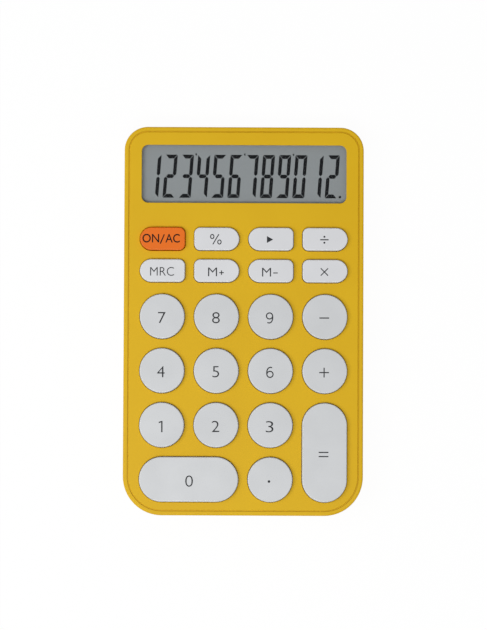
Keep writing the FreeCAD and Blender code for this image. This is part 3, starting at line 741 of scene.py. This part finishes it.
figures = ("zero", "one", "two", "three", "four", "five", "six", "seven", "eight", "nine")
byHand = {"one": digitOne, "six": digitSix, "nine": lambda: turnedOver(legends["six"])}
legends = {
    "point": [printedDot(printing["pointDiameter"])],
    "plus": plusSign(printing["signWidth"]),
    "minus": [printedBar(printing["signWidth"])],
    "equals": equalsSign(),
    "multiply": timesSign(printing["crossWidth"], printing["cross"]),
    "divide": divideSign(),
    "percent": percentSign(),
    "backspace": arrowSign(),
    "memory_recall": [wordText("MRC", printing["recallWidth"])],
}
legends["memory_plus"], legends["memory_minus"] = memorySigns()
legends["on_clear"] = onClearSign()
for value, name in enumerate(figures):
    width = printing["narrow"].get(name, printing["digitWidth"])
    plain = (str(value), printing["digitHeight"], width, printing["digitWeight"])
    legends[name] = byHand[name]() if name in byHand else [printedText(*plain)]
for name, strokes in legends.items():
    key = f"key_{name}"
    low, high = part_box(key)
    drop = printing["functionDrop"] if name in (*paleKeys, "on_clear") else printing["digitDrop"]
    aside, rise = printing["nudges"].get(name, (0, 0))
    legend = united(f"legend_{name}", strokes)
    middle = (low + high) / 2
    settle(legend, (middle.x + (printing["shift"] + aside) * mm, middle.y + (rise - drop) * mm,
                    high.z + printing["ink"] * inkLift * mm))
    dress(legend, "clear_ink" if name == "on_clear" else "legend_ink", key)
print("legends printed:", len(legends))


# Marks moulded on the battery cover and round it. Millimetres, and degrees about the cover's axis

turnMarks = {
    "lockedAt": -45, "reach": 17.2, "proud": 0.35, "corner": 0.2, "edge": 0.1, "edgeSteps": 2,
    "dot": 2.4, "ring": 2.9, "stroke": 0.75, "spare": 12, "steps": 6, "head": (2.8, 2.8),
    "pointer": (3.2, 3.0), "pointerReach": 9.9,
}


def moulded(piece, body):
    # soft edges, as a mould gives them
    alone(piece)
    soft = piece.modifiers.new("soft", "BEVEL")
    soft.limit_method = "ANGLE"
    soft.width, soft.segments = turnMarks["edge"] * mm, turnMarks["edgeSteps"]
    bpy.ops.object.modifier_apply(modifier=soft.name)
    tidied(piece, piece.name, turnOut=False)  # soft edges that meet in a corner leave doubles there
    bpy.ops.object.shade_smooth_by_angle(angle=smoothBelow)
    dress(piece, "case_plastic", body)


def coverMarks():
    # a pointer on the cover; on the case a dot where it is locked, a ring where it is free and an arrow
    hinge = next(joint for joint in frame["joints"] if joint["child"] == "battery_cover")
    axis = Vector(hinge["pos_m"])
    thick, stroke = 2 * turnMarks["proud"], turnMarks["stroke"]  # half the thickness lies in the wall
    locked = radians(turnMarks["lockedAt"])
    free = locked + hinge["axis"][2] * radians(hinge["range_deg"][1])
    spare = radians(turnMarks["spare"])
    start, end = locked - spare, free + spare

    def at(angle, reach=turnMarks["reach"]):
        return Vector((cos(angle), sin(angle), 0)) * reach

    pointer = arrowHead(*turnMarks["pointer"], thick, turnMarks["corner"])
    settle(pointer, axis + at(locked, turnMarks["pointerReach"]) * mm, turn=locked)
    moulded(tidied(pointer, "cover_pointer", turnOut=False), "battery_cover")
    dot = disc(turnMarks["dot"] * mm, thick * mm)
    settle(dot, at(locked) * mm)
    ring = penRing(turnMarks["ring"], turnMarks["ring"], stroke, at(free))
    head = arrowHead(*turnMarks["head"], thick, turnMarks["corner"])
    settle(head, at(end) * mm, turn=end - pi / 2)
    steps = turnMarks["steps"]
    sweep = penCurve([at(start + (end - start) * step / steps).xy for step in range(steps + 1)], stroke)
    for piece in (ring, sweep):  # drawn as thin as ink
        settle(piece, scale=(1, 1, thick / printing["ink"]))
    marks = joined("turn_marks", [dot, ring, united("arrow", [sweep, head])])
    settle(marks, axis)
    moulded(marks, "case")


coverMarks()
print("cover marks made")


# Camera, lamps and floor. The camera's place is in millimetres and its turn in degrees

photo = {"lens": 140, "sensor": 36, "nearest": 0.01, "place": (-0.09, -28.43, 958.4),
         "turn": (1.862, -0.013, 0.251)}
studio = {
    "world": 0.38, "backdrop": 1.0, "white": "FFFFFF", "paper": ("FAFAFA", "FFFFFF"), "fibre": 0.8,
    "floorGlow": 0.96, "floorSize": 12, "floorDrop": 0.02,
    "lamps": {  # place and size in metres, power in watts
        "key": {"place": (-0.42, -0.05, 0.62), "size": 0.45, "power": 2.25},
        "over": {"place": (-0.05, -0.46, 1.1), "size": 0.3, "power": 4.1},
    },
}


def photoCamera():
    bpy.ops.object.camera_add(location=Vector(photo["place"]) * mm,
                              rotation=[radians(angle) for angle in photo["turn"]])
    camera = bpy.context.object
    camera.data.lens = photo["lens"]
    camera.data.sensor_width = photo["sensor"]
    camera.data.clip_start = photo["nearest"]
    bpy.context.scene.camera = camera


def studioLamps():
    for name, lamp in studio["lamps"].items():
        facing = (-Vector(lamp["place"])).to_track_quat("-Z", "Y").to_euler()
        bpy.ops.object.light_add(type="AREA", location=lamp["place"], rotation=facing)
        bpy.context.object.name = name
        bpy.context.object.data.size = lamp["size"]
        bpy.context.object.data.energy = lamp["power"]


def seenDirectly(tree):
    # 1 for what the camera, a reflection or a view through glass shows, 0 for light falling on things
    path = addNode(tree, "LightPath")
    shown = path.outputs["Is Camera Ray"]
    for ray in ("Is Glossy Ray", "Is Transmission Ray"):
        shown = addNode(tree, "Math", {"operation": "MAXIMUM"}, {0: shown, 1: path.outputs[ray]}).outputs[0]
    return shown


def studioWorld():
    world = bpy.data.worlds.new("studio")
    bpy.context.scene.world = world
    world.use_nodes = True
    world.node_tree.nodes.clear()
    colour = linear(studio["white"])
    soft, white = [addNode(world.node_tree, "Background", {"Color": colour, "Strength": strength})
                   for strength in (studio["world"], studio["backdrop"])]
    either = addNode(world.node_tree, "MixShader", links={
        0: seenDirectly(world.node_tree), 1: soft.outputs[0], 2: white.outputs[0]})
    addNode(world.node_tree, "OutputWorld", links={"Surface": either.outputs[0]})


def paperFloor():
    bpy.ops.mesh.primitive_plane_add(size=studio["floorSize"], location=(0, 0, -studio["floorDrop"] * mm))
    floor = bpy.context.object
    floor.name = "floor"
    paper, tree, place = startMaterial("Paper sweep white")
    fibre = addNode(tree, "TexNoise", {"Scale": scaleFor(studio["fibre"])}, {"Vector": place})
    shades = addNode(tree, "ValToRGB", links={"Fac": fibre.outputs["Fac"]})
    for stop, shade in zip(shades.color_ramp.elements, studio["paper"]):
        stop.color = linear(shade)
    matt = addNode(tree, "BsdfDiffuse", links={"Color": shades.outputs["Color"]})
    glow = addNode(tree, "Emission", {"Color": linear(studio["white"]), "Strength": studio["backdrop"]})
    share = addNode(tree, "Math", {"operation": "MULTIPLY", 1: studio["floorGlow"]},
                    {0: seenDirectly(tree)})
    sweep = addNode(tree, "MixShader", links={0: share.outputs[0], 1: matt.outputs[0], 2: glow.outputs[0]})
    addNode(tree, "OutputMaterial", links={"Surface": sweep.outputs[0]})
    floor.data.materials.append(paper)


photoCamera()
studioLamps()
studioWorld()
paperFloor()
bpy.context.scene.view_settings.view_transform = "Standard"
print("camera, lamps and floor set")
